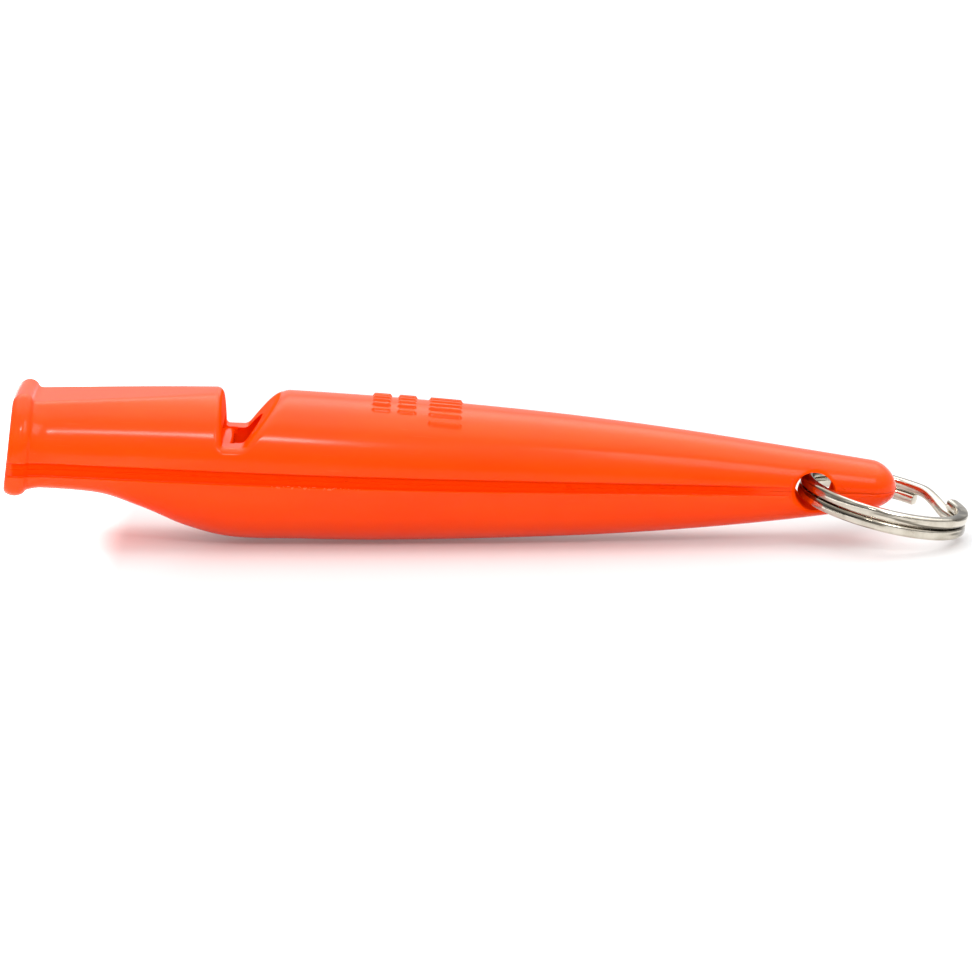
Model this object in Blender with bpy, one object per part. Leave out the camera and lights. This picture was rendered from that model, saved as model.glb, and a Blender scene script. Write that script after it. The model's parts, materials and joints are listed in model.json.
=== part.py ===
"""Pealess whistle: two moulded halves and a two-turn split ring through the tail.

Frame: +X runs from the mouth end to the tail and +Z is up. The origin is the middle of the mouth end
face, on the moulding's parting plane. Sizes below are in millimetres; vertices are scaled to metres
when a mesh is made.
"""
import math

import bmesh
import bpy
from mathutils import Matrix, Vector

MM = 0.001

# Driving dimensions of the moulding.
LENGTH = 80.0
RIM_LENGTH = 1.95
RIM_HEIGHT = 0.8
MOUTH_LEAN = 0.06
MOUTH_LEAN_LENGTH = 9.0
WALL = 1.9
GAP = 0.3

# Outer shape as (distance from the mouth, value) along the axis.
HALF_WIDTH = ((0, 6.5), (10, 6.6), (20, 6.8), (30, 6.8), (40, 6.35), (50, 5.6), (60, 4.65), (70, 3.75),
              (80, 2.9))
CREST = ((0, 6.09), (10, 6.43), (20, 6.6), (30, 6.41), (40, 6), (50, 5.4), (60, 4.52), (70, 3.36),
         (80, 2.14))
MOUTH_FLAT = ((0, 5.29), (20, 6.6))
BELLY = ((0, 2.37), (8, 2.67), (12, 3.97), (16, 5.75), (20, 6.68), (26, 6.67), (34, 6.48),
         (50, 5.47), (60, 4.5), (70, 3.17), (80, 1.45))
BELLY_POWER = ((0, 4.0), (9, 3.6), (18, 2.4), (80, 2.2))
CREST_POWER = 2.5
TIP_ROUNDING = 2.3
TIP_BLUNTNESS = 0.45

# Seam: the lower half steps in below the upper half's edge, and a tongue inside it keys the two together.
# The recess fades out before the hole, and only a plain joint runs round the tail.
UPPER_EDGE = (0.4, GAP / 2)
LOWER_EDGE = (-0.75, -0.35)
SEAM_RECESS = (0.35, 0.05)
SEAM_FADE = (62.0, 70.0)
SKIRT = 0.95
TONGUE_TOP = 1.2

# Windway, window and labium.
WINDWAY_WIDTH = 8.0
WINDWAY_END = 19.1
BLOCK_WIDTH = WINDWAY_WIDTH - 2 * GAP
BLOCK_FRONT = 0.3
BLOCK_END = 20.3
BLOCK_TOP = 2.35
ROOF_AT_MOUTH = 3.9
ROOF_AT_WINDOW = 3.6
WINDOW_FLOOR = 2.42
LABIUM_EDGE = 21.05
LABIUM_ANGLE = math.radians(54)
NOTCH_DRAFT = 0.25

# Round chamber, the hollow behind it and the tail hole. The ramp breaks into the chamber as an arch.
BORE_RADIUS = 4.4
CHAMBER = (19.9, 38.0)
REAR_HOLLOW = (39.4, 66.0)
TONGUE_SPAN = (20.4, 66.6)
HOLE_X = 72.5
HOLE_RADIUS = 1.75
HOLE_CHAMFER = 0.5

# Split ring of flattened wire.
RING_RADIUS = 7.25
WIRE_WIDTH = 1.1
WIRE_HEIGHT = 1.0
COIL_PITCH = 1.05
RING_FORWARD = 0.19
RING_DROOP = math.radians(11.5)
RING_ROLL = math.radians(2)
JOGGLE_START = math.radians(28)
JOGGLE_SPAN = math.radians(32)
END_CLEARANCE = math.radians(2)

# Mesh fineness.
TOP_STEPS = 18
BOTTOM_STEPS = 17
HOLLOW_STEPS = 16
RING_STEPS_PER_TURN = 72


def smooth_curve(points):
    """Return a function that runs smoothly through the points, level with their trend at each one."""
    xs = [float(x) for x, value in points]
    ys = [float(value) for x, value in points]
    slopes = []
    for i in range(len(xs)):
        low = max(i - 1, 0)
        high = min(i + 1, len(xs) - 1)
        slopes.append((ys[high] - ys[low]) / (xs[high] - xs[low]))

    def value_at(x):
        x = min(max(x, xs[0]), xs[-1])
        i = 0
        while i < len(xs) - 2 and x > xs[i + 1]:
            i += 1
        span = xs[i + 1] - xs[i]
        t = (x - xs[i]) / span
        start = (1 + 2 * t) * (1 - t) ** 2 * ys[i] + t * (1 - t) ** 2 * span * slopes[i]
        end = t * t * (3 - 2 * t) * ys[i + 1] + t * t * (t - 1) * span * slopes[i + 1]
        return start + end

    return value_at


half_width_at = smooth_curve(HALF_WIDTH)
crest_at = smooth_curve(CREST)
mouth_flat_at = smooth_curve(MOUTH_FLAT)
belly_at = smooth_curve(BELLY)
belly_power_at = smooth_curve(BELLY_POWER)


def rim_bulge(x):
    """How far the rounded mouth lip stands proud at x."""
    if x >= RIM_LENGTH:
        return 0.0
    along = (x - RIM_LENGTH / 2) / (RIM_LENGTH / 2)
    return RIM_HEIGHT * math.sqrt(max(0.0, 1 - 0.8 * along * along)) * (1 - 0.45 * max(0.0, along) ** 3)


def tip_scale(x):
    """Shrink the section to a rounded tail."""
    along = max(0.0, (x - (LENGTH - TIP_ROUNDING)) / TIP_ROUNDING)
    return math.sqrt(1 - (1 - TIP_BLUNTNESS ** 2) * along ** 2)


def seam_value(pair, x):
    """Blend a seam dimension from its value along the body to its value at the tail."""
    t = min(1.0, max(0.0, (x - SEAM_FADE[0]) / (SEAM_FADE[1] - SEAM_FADE[0])))
    return pair[0] + (pair[1] - pair[0]) * t * t * (3 - 2 * t)


def section_size(x, inset):
    """Half width, crest height, flat height and belly depth at x, moved in by inset."""
    change = rim_bulge(x) - inset
    scale = tip_scale(x)
    width = half_width_at(x) * scale + change
    crest = crest_at(x) * scale + change
    flat = mouth_flat_at(x) + change if x < MOUTH_FLAT[-1][0] else crest
    belly = belly_at(x) * scale + change
    return width, crest, min(flat, crest), belly


def half_section(width, height, power, z_edge, steps):
    """Points of a half superellipse standing on z = 0, from +Y over the top to -Y, cut off below z_edge."""
    start = math.asin(min(1.0, (z_edge / height) ** (power / 2)))
    points = []
    for i in range(steps + 1):
        angle = start + (math.pi - 2 * start) * i / steps
        across = math.cos(angle)
        y = width * math.copysign(abs(across) ** (2 / power), across)
        points.append((y, height * abs(math.sin(angle)) ** (2 / power)))
    return points


def outer_arch(x, z_edge):
    """Upper outline at x, from the +Y side over the crest to the -Y side."""
    width, crest, flat, belly = section_size(x, 0.0)
    return [(y, min(z, flat)) for y, z in half_section(width, crest, CREST_POWER, z_edge, TOP_STEPS)]


def outer_bowl(x, z_edge):
    """Lower outline at x, from the -Y side under the belly to the +Y side."""
    width, crest, flat, belly = section_size(x, 0.0)
    return [(-y, -z) for y, z in half_section(width, belly, belly_power_at(x), -z_edge, BOTTOM_STEPS)]


def stations(start, end, step=2.0):
    """Places along the axis, closer together over the lip and the rounded tail."""
    places = [start, end]
    for x in (0.0, 0.2, 0.55, 1.0, 1.4, 1.75, RIM_LENGTH, 3.0):
        places.append(x)
    for back in (0.0, 0.12, 0.4, 0.8, 1.3, 1.9, TIP_ROUNDING):
        places.append(LENGTH - back)
    x = 4.5
    while x < LENGTH - TIP_ROUNDING - 0.5 * step:
        places.append(x)
        x += step
    kept = sorted({place for place in places if start <= place <= end})
    spaced = [kept[0]]
    for place in kept[1:]:
        if place - spaced[-1] > 0.08:
            spaced.append(place)
    return spaced


def lean(x, z):
    """The mouth end leans back: its top lies further from the lips than its underside."""
    fade = max(0.0, 1 - x / MOUTH_LEAN_LENGTH)
    return x + MOUTH_LEAN * z * fade


def mesh_object(name, bm):
    """Turn a bmesh in millimetres into an object in metres with outward faces."""
    bmesh.ops.recalc_face_normals(bm, faces=bm.faces)
    bmesh.ops.scale(bm, vec=(MM, MM, MM), verts=bm.verts)
    mesh = bpy.data.meshes.new(name)
    bm.to_mesh(mesh)
    bm.free()
    mesh.shade_smooth()
    mesh.set_sharp_from_angle(angle=math.radians(35))
    obj = bpy.data.objects.new(name, mesh)
    bpy.context.scene.collection.objects.link(obj)
    return obj


def loft(name, rings):
    """Join closed rings of equal length into a solid with a flat cap at each end."""
    bm = bmesh.new()
    rows = [[bm.verts.new(point) for point in ring] for ring in rings]
    count = len(rows[0])
    for row, following in zip(rows, rows[1:]):
        for i in range(count):
            j = (i + 1) % count
            bm.faces.new((row[i], row[j], following[j], following[i]))
    bm.faces.new(rows[0])
    bm.faces.new(reversed(rows[-1]))
    return mesh_object(name, bm)


def prism_along_y(name, outline, half_span):
    """Extrude an (x, z) outline across the body."""
    rings = []
    for y in (-half_span, half_span):
        rings.append([(x, y, z) for x, z in outline])
    return loft(name, rings)


def combine(target, tool, operation):
    """Apply one solid to another with a Boolean, and keep the tool as a guide."""
    tool.hide_render = True
    tool.display_type = "WIRE"
    modifier = target.modifiers.new(f"{operation.lower()}_{tool.name}", "BOOLEAN")
    modifier.operation = operation
    modifier.solver = "EXACT"
    modifier.object = tool


def upper_solid(name):
    """The upper half before it is hollowed, with a level underside."""
    rings = []
    for x in stations(0.0, LENGTH):
        rings.append([(lean(x, z), y, z) for y, z in outer_arch(x, seam_value(UPPER_EDGE, x))])
    return loft(name, rings)


def lower_solid(name):
    """The lower half before it is hollowed: its wall steps in below the seam and ends in a level top."""
    rings = []
    for x in stations(0.0, LENGTH):
        edge = seam_value(LOWER_EDGE, x)
        top = seam_value(UPPER_EDGE, x) - GAP
        outline = outer_bowl(x, edge)
        stepped_in = outline[-1][0] - seam_value(SEAM_RECESS, x)
        step = [(stepped_in, edge), (stepped_in, top)]
        mirrored_step = [(-y, z) for y, z in reversed(step)]
        outline = mirrored_step + outline + step
        rings.append([(lean(x, z), y, z) for y, z in outline])
    return loft(name, rings)


def hollow_cutter(name, start, end):
    """A closed cavity through both halves, round and never nearer the outside than the wall."""
    rings = []
    for x in stations(start, end, 3.0):
        width, crest, flat, belly = section_size(x, WALL)
        width = min(width, BORE_RADIUS)
        over = half_section(width, min(crest, BORE_RADIUS), 2.0, 0.02, HOLLOW_STEPS)
        under = [(-y, -z) for y, z in half_section(width, min(belly, BORE_RADIUS), 2.0, 0.02, HOLLOW_STEPS)]
        rings.append([(x, y, z) for y, z in over + under])
    return loft(name, rings)


def tongue_outline(name, inset, z_low, z_high, span):
    """A level slab that follows the body's plan, moved in by inset."""
    rings = []
    for x in stations(span[0], span[1], 3.0):
        width = section_size(x, inset)[0]
        rings.append([(x, -width, z_low), (x, width, z_low), (x, width, z_high), (x, -width, z_high)])
    return loft(name, rings)


def windway_cutter():
    """The channel that the block stands in, its roof narrowing towards the window."""
    channel_end = CHAMBER[0] + GAP
    outline = [(-1, -2), (channel_end, -2), (channel_end, ROOF_AT_WINDOW), (-1, ROOF_AT_MOUTH)]
    return prism_along_y("cut_windway", outline, WINDWAY_WIDTH / 2)


def notch_cutter():
    """The wedge cut across the top: a near-upright wall, a floor and the labium's slope."""
    top = 9.0
    run = (top - WINDOW_FLOOR) / math.tan(LABIUM_ANGLE)
    outline = [(WINDWAY_END - NOTCH_DRAFT, top), (WINDWAY_END, WINDOW_FLOOR), (LABIUM_EDGE, WINDOW_FLOOR)]
    outline.append((LABIUM_EDGE + run, top))
    return prism_along_y("cut_notch", outline, 9.0)


def hole_cutter():
    """Chamfered cross hole: a turned profile about the Y axis."""
    mouth = section_size(HOLE_X, 0)[0]
    profile = [(HOLE_RADIUS + 3.0, -mouth - 3.0 + HOLE_CHAMFER), (HOLE_RADIUS, -mouth + HOLE_CHAMFER)]
    profile += [(HOLE_RADIUS, mouth - HOLE_CHAMFER), (HOLE_RADIUS + 3.0, mouth + 3.0 - HOLE_CHAMFER)]
    rings = []
    for radius, y in profile:
        ring = []
        for i in range(32):
            angle = math.tau * (i + 0.5) / 32
            ring.append((HOLE_X + radius * math.cos(angle), y, radius * math.sin(angle)))
        rings.append(ring)
    return loft("cut_hole", rings)


def material(name, colour, roughness, metallic):
    surface = bpy.data.materials.new(name)
    surface.use_nodes = True
    shader = surface.node_tree.nodes["Principled BSDF"]
    shader.inputs["Base Color"].default_value = (*colour, 1.0)
    shader.inputs["Roughness"].default_value = roughness
    shader.inputs["Metallic"].default_value = metallic
    surface.diffuse_color = (*colour, 1.0)
    return surface


def build_upper_body(cutters):
    body = upper_solid("upper_body")
    rebate_span = (TONGUE_SPAN[0] - GAP, TONGUE_SPAN[1] + GAP)
    rebate = tongue_outline("cut_rebate", SKIRT, -1.0, TONGUE_TOP + GAP, rebate_span)
    for cutter in [rebate, windway_cutter(), notch_cutter()] + cutters:
        combine(body, cutter, "DIFFERENCE")
    body.data.materials.append(material("orange_upper", (0.90, 0.10, 0.015), 0.2, 0.0))
    return body


def build_lower_body(cutters):
    body = lower_solid("lower_body")
    block_outline = ((BLOCK_FRONT, -1.2), (BLOCK_END, -1.2), (BLOCK_END, BLOCK_TOP), (BLOCK_FRONT, BLOCK_TOP))
    block = prism_along_y("fipple_block", block_outline, BLOCK_WIDTH / 2)
    tongue = tongue_outline("seam_tongue", SKIRT + GAP, -1.2, TONGUE_TOP, TONGUE_SPAN)
    combine(body, block, "UNION")
    combine(body, tongue, "UNION")
    for cutter in cutters:
        combine(body, cutter, "DIFFERENCE")
    body.data.materials.append(material("orange_lower", (0.86, 0.085, 0.012), 0.22, 0.0))
    return body


def wire_section():
    """Flattened wire with rounded edges, as (outward, up) offsets."""
    half_width = WIRE_WIDTH / 2
    half_height = WIRE_HEIGHT / 2
    corner = 0.22
    points = []
    for centre_angle, sx, sz in ((45, 1, 1), (135, -1, 1), (225, -1, -1), (315, 1, -1)):
        for turn in (-45, 0, 45):
            angle = math.radians(centre_angle + turn)
            out = sx * (half_width - corner) + corner * math.cos(angle)
            up = sz * (half_height - corner) + corner * math.sin(angle)
            points.append((out, up))
    return points


def coil_height(turned, coil):
    """Height of the wire's middle: level on each coil, with a smooth step at the joggle."""
    t = min(1.0, max(0.0, (turned - coil) / JOGGLE_SPAN))
    eased = t * t * (3 - 2 * t)
    return COIL_PITCH * (0.5 - eased)


def build_split_ring():
    """Two level coils joined by one joggle, modelled flat about the hole and then swung down."""
    coil = math.tau - JOGGLE_SPAN
    total = 2 * coil + JOGGLE_SPAN - END_CLEARANCE
    steps = round(total / math.tau * RING_STEPS_PER_TURN)
    centre_x = RING_RADIUS - WIRE_WIDTH / 2 - RING_FORWARD
    rings = []
    for i in range(steps + 1):
        turned = total * i / steps
        angle = JOGGLE_START - turned
        height = coil_height(turned, coil)
        ring = []
        for out, up in wire_section():
            radius = RING_RADIUS + out
            ring.append((centre_x + radius * math.cos(angle), radius * math.sin(angle), height + up))
        rings.append(ring)
    ring_object = loft("split_ring", rings)
    ring_object.data.materials.append(material("nickel_wire", (0.72, 0.70, 0.67), 0.16, 1.0))
    return ring_object


def main():
    for obj in list(bpy.data.objects):
        bpy.data.objects.remove(obj)
    chamber = hollow_cutter("cut_chamber", *CHAMBER)
    rear_hollow = hollow_cutter("cut_rear_hollow", *REAR_HOLLOW)
    cutters = [chamber, rear_hollow, hole_cutter()]
    build_upper_body(cutters)
    build_lower_body(cutters)
    pivot = bpy.data.objects.new("ring_pivot", None)
    bpy.context.scene.collection.objects.link(pivot)
    pivot.location = Vector((HOLE_X, 0, 0)) * MM
    turn = Matrix.Rotation(RING_DROOP, 4, "Y") @ Matrix.Rotation(RING_ROLL, 4, "X")
    pivot.rotation_euler = turn.to_euler()
    ring = build_split_ring()
    ring.parent = pivot


main()
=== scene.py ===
"""Finish for the pealess whistle: fine meshes for the two moulded halves and the split ring, with their
materials, on a pale studio floor. Sizes are in millimetres until a mesh is made in metres.
"""
import json
import math
import random

import bmesh
import bpy
import numpy as np
from mathutils import Matrix, Vector


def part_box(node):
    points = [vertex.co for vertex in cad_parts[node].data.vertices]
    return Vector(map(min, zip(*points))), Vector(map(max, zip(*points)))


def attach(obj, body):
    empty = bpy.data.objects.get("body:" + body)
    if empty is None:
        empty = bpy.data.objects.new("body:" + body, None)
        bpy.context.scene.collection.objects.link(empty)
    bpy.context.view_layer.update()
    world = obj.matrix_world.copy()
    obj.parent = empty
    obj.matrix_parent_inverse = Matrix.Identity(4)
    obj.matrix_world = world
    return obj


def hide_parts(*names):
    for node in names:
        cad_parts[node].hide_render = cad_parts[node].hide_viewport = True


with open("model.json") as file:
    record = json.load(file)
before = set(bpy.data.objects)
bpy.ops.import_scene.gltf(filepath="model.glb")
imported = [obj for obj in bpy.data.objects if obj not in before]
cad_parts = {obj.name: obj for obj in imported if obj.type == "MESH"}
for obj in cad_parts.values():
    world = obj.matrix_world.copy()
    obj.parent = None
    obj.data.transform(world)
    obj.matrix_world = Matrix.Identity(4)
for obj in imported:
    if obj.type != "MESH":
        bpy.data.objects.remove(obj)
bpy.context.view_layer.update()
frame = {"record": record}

MM = 0.001
HINGE = frame["record"]["behaviour"]["joints"][0]

# Keeps a section from shrinking to nothing at the tip, and marks a place well outside a shape.
THIN = 1e-3
FAR_OUTSIDE = 9.0

# Outer shape, the same driving curves as the frame's solids: (distance from the mouth, value).
LENGTH = round(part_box("upper_body")[1][0] / MM, 2)
HALF_WIDTH = ((0, 6.5), (10, 6.6), (20, 6.8), (30, 6.8), (40, 6.35), (50, 5.6), (60, 4.65), (70, 3.75),
              (80, 2.9))
CREST = ((0, 6.09), (10, 6.43), (20, 6.6), (30, 6.41), (40, 6), (50, 5.4), (60, 4.52), (70, 3.36),
         (80, 2.14))
MOUTH_FLAT = ((0, 5.29), (20, 6.6))
BELLY = ((0, 2.37), (8, 2.67), (12, 3.97), (16, 5.75), (20, 6.68), (26, 6.67), (34, 6.48),
         (50, 5.47), (60, 4.5), (70, 3.17), (80, 1.45))
BELLY_POWER = ((0, 4.0), (9, 3.6), (18, 2.4), (80, 2.2))
CREST_POWER = 2.5
RIM_RADIUS = 0.95
RIM_HEIGHT = 0.78
RIM_SIDES = (3.5, 6.3)
RIM_SIDE_LOSS = 0.65
RIM_FILLET = 0.75
RIM_SIDE_FILLET = 2.6
FLAT_ROUNDING = 0.2
MOUTH_LEAN = 0.08
MOUTH_LEAN_LENGTH = 9.0
MOUTH_BOW = 0.22
MOUTH_REACH = 0.12
TIP_ROUNDING = 2.25
TIP_START = LENGTH - TIP_ROUNDING

# Sections along the halves: (end of a stretch, step within it). They crowd where the shape turns fast.
UPPER_ZONES = ((2.6, 0.09), (6, 0.4), (18.0, 0.6), (18.8, 0.07), (19.15, 0.014), (19.5, 0.04), (21.0, 0.15),
               (22.0, 0.06), (25.5, 0.1), (32.0, 0.5), (36.6, 0.085), (37.2, 0.15), (40.8, 0.085),
               (70.0, 0.7), (TIP_START, 0.35))
LOWER_ZONES = ((2.6, 0.09), (6, 0.4), (70.0, 0.5), (TIP_START, 0.3))
TIP_STATIONS = 30
UPPER_RAYS = 250
LOWER_RAYS = 170
RAY_LENGTH = 14.0
RAY_HALVINGS = 34
RAY_START_DEPTH = 0.8
RAY_START_SHARE = 0.3
RAY_CROWDING = 0.45
SHARP_LOFT = math.radians(40)
SHARP_CUT = math.radians(38)

# Seam: a shallow groove with the weld line inside it. It fades out at the tail hole.
GROOVE_TOP = ((0, 0.4), (12, 0.34), (30, 0.36), (60, 0.45), (70, 0.36), (76, 0.06), (80, 0.06))
GROOVE_BOTTOM = ((0, -0.82), (12, -0.84), (30, -0.76), (60, -0.5), (70, -0.36), (76, -0.08), (80, -0.08))
GROOVE_DEPTH = ((0, 0.34), (60, 0.34), (69, 0.22), (74, 0.03), (80, 0.03))
WELD_LINE = ((0, -0.2), (30, -0.2), (60, -0.02), (80, -0.01))
WELD_GAP = 0.03
EDGE_ROUNDING = 0.1

# Windway. The roof steps are (distance from the mouth, height above ROOF_AT_MOUTH).
WINDWAY_WIDTH = 8.0
WINDWAY_END = 19.1
WINDWAY_ROOT = -3.0
WINDWAY_CORNER = 0.2
WINDWAY_OVERRUN = 0.3
ROOF_AT_MOUTH = 3.9
ROOF_AT_WINDOW = 3.6
ROOF_STEPS = ((-1.0, 0.45), (0.0, 0.15), (0.7, -0.1), (3.0, -0.2))
CORNER_STEPS = 6

# The block's front edge is softened in steps of (distance back, distance down).
BLOCK_CLEARANCE = 0.12
BLOCK_FRONT = 0.25
BLOCK_FRONT_STEPS = ((0.0, 0.14), (0.05, 0.05), (0.14, 0.0))
BLOCK_MIDDLE = 9.0
BLOCK_TOP = 2.35
BLOCK_ROOT = -1.6
BLOCK_CORNER = 0.1
BLOCK_OVERRUN = 0.02
BLOCK_END_ROUNDING = 0.5
BLOCK_END_STEPS = 9

# Notch and window.
WINDOW_FLOOR = 2.42
LABIUM_EDGE = 21.05
LABIUM_ANGLE = math.radians(54)
NOTCH_DRAFT = math.atan(0.25 / 4)
NOTCH_CORNER = 0.3
NOTCH_ROUNDING = 0.65
RAMP_ROUNDING = 0.8
ROUNDING_CHANGE = (22.0, 24.0)

# Hollow and hole.
WALL = 1.9
BORE_RADIUS = 4.4
CHAMBER = (19.9, 38.0)
REAR_HOLLOW = (39.4, 66.0)
HOLLOW_STATIONS = 36
HOLLOW_POINTS = 49
HOLLOW_LIFT = 0.01
HOLE_X = HINGE["pos_m"][0] / MM
HOLE_RADIUS = 1.75
HOLE_FLARE = 0.55
HOLE_FLARE_STEPS = 12
HOLE_OVERSHOOT = (0.5, 3.0)
HOLE_SIDES = 96

# Plain raised ribs on the crest: (middle, half length, ribs on each side of the middle one).
RIB_COLUMNS = ((33.25, 0.8, 3), (35.55, 0.8, 3), (39.0, 1.45, 4))
RIB_PITCH = 1.1
RIB_HALF_WIDTH = 0.24
RIB_CORNER = 0.2
MARK_HEIGHT = 0.26
MARK_EDGE = 0.1

# Bead squeezed out along the weld.
BEAD_SPAN = (2.4, 69.6)
BEAD_FULL = (4.0, 66.0)
BEAD_STEP = 0.16
BEAD_SIDES = 7
BEAD_RADIUS = 0.055
BEAD_RIPPLE = 0.014
BEAD_LEAST = 0.004
BEAD_INSET = 0.01
BEAD_WANDER = 0.02

# Flash along the weld: (start, end, number of lumps), and burrs outside it: (x, z, length).
FLASH_SEED = 7
FLASH_INSET = 0.03
FLASH_SPREAD = 0.16
FLASH_SIZES = ((0.06, 0.28), (0.04, 0.1), (0.03, 0.08))
FLASH_RUNS = ((16.5, 20.5, 8), (29.8, 31.0, 3), (32.6, 33.4, 2), (49.0, 60.0, 22))
BURRS = ((74.95, 0.75, 0.12), (75.2, 0.45, 0.16), (75.45, 0.2, 0.1), (75.75, 0.5, 0.09), (75.3, 1.0, 0.07),
         (70.45, 1.15, 0.14), (70.3, 0.1, 0.1), (72.2, 2.05, 0.16))
BURR_INSET = 0.01
BURR_SIZE = (0.07, 0.05)
LUMP_ROWS = 5
LUMP_SIDES = 8

# Split ring.
RING_RADIUS = 7.25
WIRE_WIDTH = 1.1
WIRE_HEIGHT = 1.0
WIRE_POWER = 3.6
WIRE_SIDES = 40
COIL_PITCH = 1.05
RING_FORWARD = 0.19
RING_DROOP = math.radians(11.5)
RING_ROLL = math.radians(2)
JOGGLE_START = math.radians(28)
JOGGLE_SPAN = math.radians(32)
END_CLEARANCE = math.radians(2)
END_ROUNDING = 0.1
END_STEPS = 4
RING_STATIONS = 700

# Studio: the whistle lies a little tail down on the floor.
TAIL_DOWN = math.radians(2.35)
CAMERA_ELEVATION = math.radians(11.5)
CAMERA_DISTANCE = 620.0
CAMERA_TARGET = (42.93, 0.0, -1.33)
FRAME_WIDTH = 87.96
SENSOR = 36.0

# The room's brightness by direction: each range is of the direction's height, depth or tilted height.
DOME_TOP = 3.0
DOME_TOP_RANGE = (0.6, 0.95)
DOME_TILT = math.radians(20)
DOME_BACK = 0.6
DOME_BACK_RANGE = (-0.5, 0.4)
DOME_FRONT_LOW = 0.15
DOME_FRONT_HIGH = 1.2
DOME_FRONT_RANGE = (0.05, 0.65)
BACKDROP = 1.05

# Clipping, floor and lamps, in metres, watts and degrees.
CLIP_RANGE = (0.01, 10)
FLOOR_HALF = 1.6
FLOOR_GAP = 0.00005
FLOOR_WHITE = 0.62
FLOOR_ROUGHNESS = 0.3
FLOOR_SPECULAR = 0.3
FLOOR_GLOW = 0.12
# Painted light on the floor past the mouth end, washing out the whistle's shadow there.
PAINTED_FLOOR_LIGHT = 0.9
PAINTED_FLOOR_LIGHT_FADE = (0.006, 0.0105)
LAMP_TARGET = (0.03, 0, 0.003)
LAMP_ELEVATION = 37.0
LAMP_AZIMUTH = -4.6
LAMP_DISTANCE = 0.6
LAMP_SIZE = (0.086, 0.05)
LAMP_POWER = 0.6
TAIL_LAMP = (0.275, -0.42, 0.40)
TAIL_LAMP_SIZE = (0.2, 0.24)
TAIL_LAMP_POWER = 0.85

# Finish.
SPECULAR_LEVEL = 0.15
ORANGE = (1.0, 0.066, 0.001)
DEEP_ORANGE = (0.98, 0.056, 0.001)
WORN_ORANGE = (1.0, 0.22, 0.09)
# Painted shade: a darker red that stands in for the shade in the weld's groove.
SEAM_SHADE_RED = (0.92, 0.044, 0.001)
NICKEL = (0.68, 0.63, 0.54)
DULL_NICKEL = (0.50, 0.45, 0.37)
# Painted reflection: the near-black colour of dark reflection lines on the wire.
PAINTED_REFLECTION_DARK = (0.07, 0.058, 0.04)
# Painted glow: red light given off by the chamber's wall and the hole's bore, though they are no lamp.
PAINTED_INNER_GLOW = 0.06
PAINTED_GLOW_RED = (1, 0.01, 0, 1)
SUBSURFACE = 0.12
SUBSURFACE_RADIUS = (1.0, 0.15, 0.03)
SUBSURFACE_SCALE = 0.0009
PLASTIC_ROUGHNESS = (0.11, 0.18)
NICKEL_ROUGHNESS = (0.07, 0.2)
SCRATCH_STRENGTH = 0.15
WORN_TINT = 0.5
WORN_ROUGHNESS = 0.3
NICK_ROUGHNESS = 0.2
CUT_ROUGHNESS = 0.35
CUT_DULLING = 0.93

# Noise in the finish: (stretch along each axis, waves per metre, detail, roughness).
FLOW_LINES = ((0.25, 1, 1), 260.0)
ORANGE_PEEL = ((1, 1, 1), 1400.0, 3.0)
SMEARS = ((0.4, 1, 1), 120.0, 5.0, 0.65)
SCRATCHES = ((0.04, 1, 0.8), 5200.0, 2.0)
SCRATCH_AREAS = ((1, 1, 1), 90.0, 2.0)
EDGE_CHIPS = ((1, 1, 1), 3600.0, 2.0)
# Painted dark reflection lines running round the ring's wire.
PAINTED_REFLECTION_LINES = ((0.07, 0.07, 1), 1900.0, 2.0)
DRAWN_LINES = ((0.15, 0.15, 1), 9000.0, 2.0)
DULL_PATCHES = ((1, 1, 1), 420.0, 5.0, 0.65)
NICKS = ((1, 1, 1), 2600.0, 2.0)

# Noise levels between which each feature fades in.
FLOW_LEVELS = (0.3, 0.7)
SMEAR_LEVELS = (0.3, 0.75)
SCRATCH_LEVELS = (0.66, 0.7)
SCRATCH_AREA_LEVELS = (0.55, 0.68)
CHIP_LEVELS = (0.56, 0.62)
# The streak levels and strength set the painted dark reflection lines on the wire.
PAINTED_REFLECTION_LEVELS = (0.53, 0.6)
PAINTED_REFLECTION_STRENGTH = 0.8
NICK_LEVELS = (0.66, 0.7)
DULL_LEVELS = (0.35, 0.7)
DULL_ROUGHNESS_LEVELS = (0.35, 0.75)

# Bumps: (strength, depth in metres).
SMEAR_BUMP = (0.25, 0.00003)
PEEL_BUMP = (0.16, 0.00001)
WORN_BUMP = (0.5, 0.00002)
DULL_BUMP = (0.3, 0.00004)
DRAWN_BUMP = (0.1, 0.000004)
NICK_BUMP = (0.3, 0.00001)

# Where the finish changes, in metres: each pair is the start and end of a fade.
# The seam fades place the painted shade in the weld's groove.
SEAM_RISE = (0.03, 0.07)
SEAM_LOWER_EDGE = (-0.00078, -0.00038)
SEAM_SOFTNESS = (0.0, 0.00004)
SEAM_UPPER_EDGE = (0.00034, 0.00038)
SEAM_STARTS = (0.0003, 0.0006)
SEAM_ENDS = (0.064, 0.071)
SCUFF_LOW = (-0.0011, -0.0008)
SCUFF_HIGH = (-0.0007, -0.0006)
SCUFF_STARTS = (0.0225, 0.0255)
SCUFF_ENDS = (0.0295, 0.0325)
CUT_FACE_FADE = (0.00012, 0.0003)

# The same in millimetres, past the chamber's wall, its two ends, the hole and the notch's floor.
# The chamber and hole fades place the painted glow.
CHAMBER_WALL_FADE = (0.02, 0.06)
CHAMBER_START_FADE = (0.1, 0.5)
CHAMBER_END_FADE = (0.0, 0.2)
HOLE_FADE = (0.15, 0.5)
NOTCH_FLOOR_FADE = (0.0, 0.2)


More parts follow.
